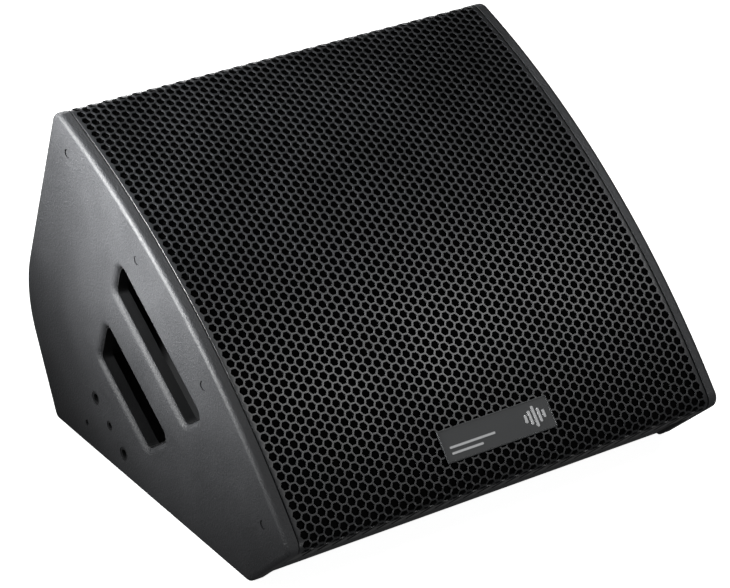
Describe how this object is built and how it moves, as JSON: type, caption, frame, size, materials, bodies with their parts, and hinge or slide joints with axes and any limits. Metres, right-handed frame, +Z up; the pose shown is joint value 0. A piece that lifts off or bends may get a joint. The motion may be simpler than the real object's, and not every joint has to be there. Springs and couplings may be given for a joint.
{
  "type": "stage monitor wedge",
  "caption": "Wedge-shaped stage monitor loudspeaker with a curved perforated steel front, painted plywood cabinet and slotted hand grips in its sides.",
  "frame": {"origin": "on the floor, at the middle of the width and of the depth", "axes": "+X to the right across the cabinet seen from the front, -Y towards the front (the low nose of the wedge), +Z up"},
  "size_m": [0.5, 0.4756, 0.3495],
  "materials": {
    "painted_plywood": "black textured paint",
    "bare_plywood": "bare birch",
    "grille_steel": "black powder coat",
    "acoustic_foam": "open cell foam",
    "badge_metal": "anodised dark grey",
    "black_steel": "blackened steel",
    "zinc_steel": "zinc plated",
    "foot_rubber": "moulded rubber",
    "moulded_plastic": "moulded black plastic",
    "die_cast": "black coated casting",
    "ferrite": "sintered",
    "soft_iron": "machined",
    "paper_cone": "pressed pulp",
    "treated_cloth": "impregnated cloth",
    "former_foil": "foil",
    "copper_wire": "enamelled",
    "titanium_foil": "foil",
    "circuit_board": "laminate",
    "capacitor_film": "sleeved",
    "ceramic": "glazed",
    "damping_felt": "felt",
    "sealing_foam": "closed cell foam"
  },
  "bodies": {
    "cabinet": {"back_plate": "soft_iron", "back_wadding": "damping_felt", "badge": "badge_metal", "baffle": "painted_plywood", "bevel_panel": "painted_plywood", "board_screws": "zinc_steel", "board_spacers": "moulded_plastic", "bottom_panel": "painted_plywood", "connector_plate": "black_steel", "connector_socket_left": "moulded_plastic", "connector_socket_right": "moulded_plastic", "crossover_board": "circuit_board", "crossover_capacitors": "capacitor_film", "crossover_resistor": "ceramic", "feet": "foot_rubber", "floor_wadding": "damping_felt", "foot_screws": "zinc_steel", "front_batten": "bare_plywood", "grille": "grille_steel", "grille_foam": "acoustic_foam", "grille_nuts": "zinc_steel", "grille_screws": "black_steel", "handle_cup_left": "moulded_plastic", "handle_cup_right": "moulded_plastic", "hf_cap": "die_cast", "hf_horn": "moulded_plastic", "hf_housing": "die_cast", "hf_magnet": "ferrite", "hf_mount_ring": "moulded_plastic", "hf_phase_plug": "moulded_plastic", "hf_surround": "treated_cloth", "knee_batten": "bare_plywood", "large_inductor": "copper_wire", "locating_bushes": "zinc_steel", "lower_back_panel": "painted_plywood", "plate_gasket": "sealing_foam", "plate_screws": "black_steel", "port_tube_left": "moulded_plastic", "port_tube_right": "moulded_plastic", "rear_batten": "bare_plywood", "rigging_inserts": "zinc_steel", "side_panel_left": "painted_plywood", "side_panel_right": "painted_plywood", "small_inductor": "copper_wire", "socket_screws": "zinc_steel", "top_plate": "soft_iron", "top_rail": "painted_plywood", "upper_back_panel": "painted_plywood", "woofer_basket": "die_cast", "woofer_gasket": "sealing_foam", "woofer_magnet": "ferrite", "woofer_screws": "black_steel", "woofer_spider": "treated_cloth", "woofer_surround": "treated_cloth", "woofer_tee_nuts": "zinc_steel"},
    "cone_assembly": {"woofer_cone": "paper_cone", "voice_coil_former": "former_foil", "voice_coil_winding": "copper_wire"},
    "hf_dome": {"hf_diaphragm": "titanium_foil"}
  },
  "joints": [
    {"name": "cone_travel", "type": "slide", "parent": "cabinet", "child": "cone_assembly", "axis": [0, -0.5664, 0.8241], "range_m": [-0.005, 0.005], "stiffness_N_per_m": 3000, "deforming": ["woofer_surround", "woofer_spider"]},
    {"name": "dome_travel", "type": "slide", "parent": "cabinet", "child": "hf_dome", "axis": [0, -0.5664, 0.8241], "range_m": [-0.0003, 0.0003], "stiffness_N_per_m": 5000, "deforming": ["hf_surround"]}
  ]
}
